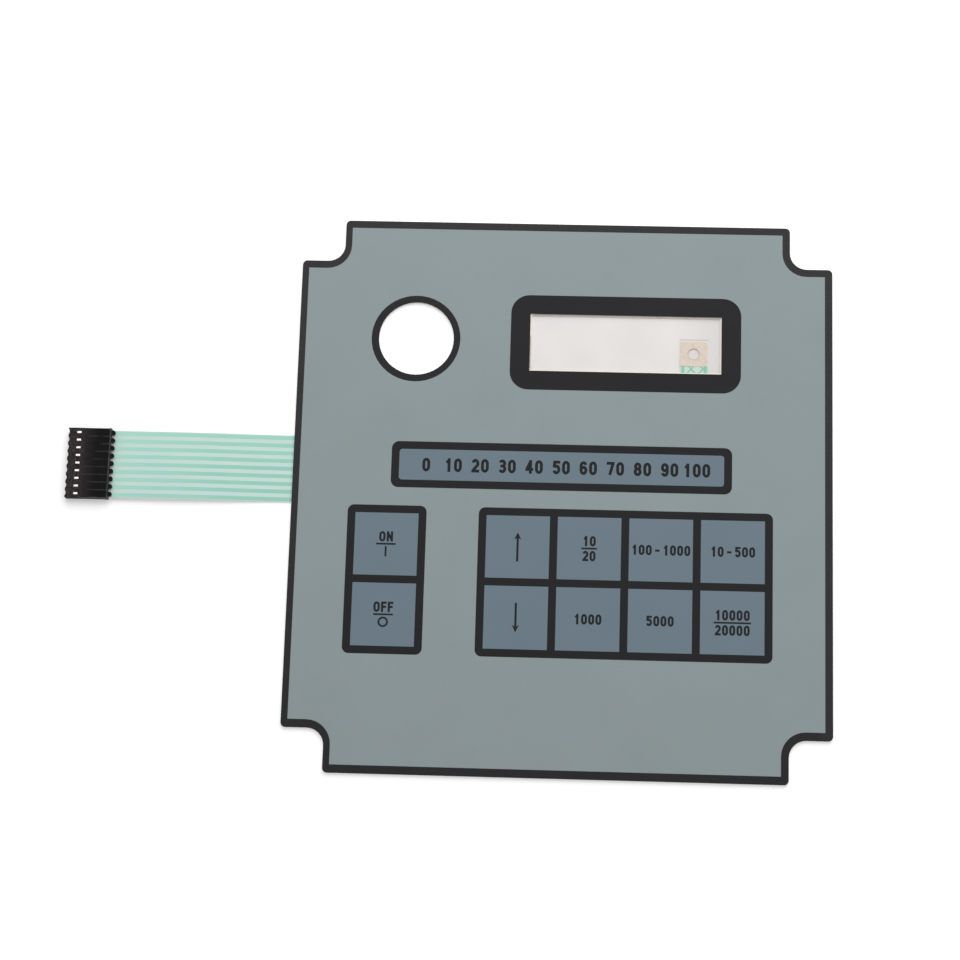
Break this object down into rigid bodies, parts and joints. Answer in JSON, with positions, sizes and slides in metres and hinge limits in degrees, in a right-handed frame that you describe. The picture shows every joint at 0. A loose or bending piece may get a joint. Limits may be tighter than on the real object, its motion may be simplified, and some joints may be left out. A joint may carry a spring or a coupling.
{
  "type": "membrane keypad",
  "caption": "Flat laminated membrane keypad with framed key fields, a clear display window, a round hole, notched corners and a flat film tail that ends in a crimp connector.",
  "frame": {"origin": "centre of the panel on its rear face, the underside of the release liner", "axes": "+X along the panel's width, away from the tail; +Y along the panel's height, towards the display window; +Z out of the printed front"},
  "size_m": [0.2469, 0.182, 0.0028],
  "materials": {
    "liner_paper": "silicone-coated white paper",
    "adhesive": "off-white acrylic film",
    "circuit_film": "pale green translucent polyester",
    "clear_film": "clear polyester, satin",
    "grey_ink": "screen-printed ink, satin",
    "black_ink": "screen-printed ink, satin",
    "blue_grey_ink": "screen-printed ink, satin",
    "green_conductor": "silver ink under a green dielectric coat",
    "buff_pad": "buff adhesive pad",
    "black_moulding": "glass-filled black moulding",
    "tin_plate": "bright tin plate"
  },
  "bodies": {
    "root": {"release_liner": "liner_paper", "rear_adhesive": "adhesive", "lower_circuit_film": "circuit_film", "circuit_spacer": "circuit_film", "upper_circuit_film": "circuit_film", "overlay_adhesive": "adhesive", "overlay_film": "clear_film", "conductor_1": "green_conductor", "conductor_2": "green_conductor", "conductor_3": "green_conductor", "conductor_4": "green_conductor", "conductor_5": "green_conductor", "conductor_6": "green_conductor", "conductor_7": "green_conductor", "conductor_8": "green_conductor", "conductor_9": "green_conductor", "tab_pad": "buff_pad", "tab_crossed_marks": "green_conductor", "print_grey_field": "grey_ink", "print_border": "black_ink", "print_hole_ring": "black_ink", "print_window_frame": "black_ink", "print_title_frame": "black_ink", "print_title_field": "blue_grey_ink", "print_key_frame_left": "black_ink", "print_key_frame_right": "black_ink", "key_field_1": "blue_grey_ink", "key_field_2": "blue_grey_ink", "key_field_3": "blue_grey_ink", "key_field_4": "blue_grey_ink", "key_field_5": "blue_grey_ink", "key_field_6": "blue_grey_ink", "key_field_7": "blue_grey_ink", "key_field_8": "blue_grey_ink", "key_field_9": "blue_grey_ink", "key_field_10": "blue_grey_ink", "connector_housing": "black_moulding", "terminal_1": "tin_plate", "terminal_2": "tin_plate", "terminal_3": "tin_plate", "terminal_4": "tin_plate", "terminal_5": "tin_plate", "terminal_6": "tin_plate", "terminal_7": "tin_plate", "terminal_8": "tin_plate", "terminal_9": "tin_plate"}
  },
  "joints": []
}
